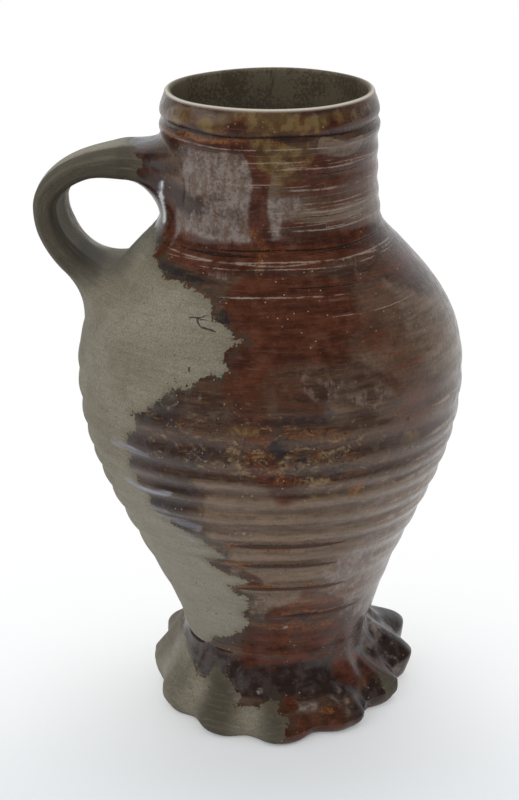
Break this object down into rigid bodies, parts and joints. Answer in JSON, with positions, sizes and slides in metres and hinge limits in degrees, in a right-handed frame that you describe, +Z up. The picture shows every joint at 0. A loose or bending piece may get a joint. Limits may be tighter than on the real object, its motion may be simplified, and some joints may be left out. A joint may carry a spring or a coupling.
{
  "type": "stoneware jug",
  "caption": "Round-bellied stoneware jug with an upright neck, a strap handle and a thumb-pressed frilled foot, for holding and pouring drink.",
  "frame": {"origin": "on the turning axis of the pot, at its flat underside, level with the surface it stands on", "axes": "+Z up along the turning axis, the handle towards -X and turned 5.3 degrees to the back, the pictured side towards -Y"},
  "size_m": [0.1476, 0.1334, 0.22],
  "materials": {
    "washed_stoneware": "brown iron wash under a thin salt glaze, with bare grey clay on the handle side",
    "bare_stoneware": "bare grey-olive fired clay, brown and glossy at the upper root",
    "foot_stoneware": "grey-olive clay with brown and purple glaze over the right side"
  },
  "bodies": {
    "root": {"thrown_body": "washed_stoneware", "strap_handle": "bare_stoneware", "kneaded_foot": "foot_stoneware"}
  },
  "joints": []
}
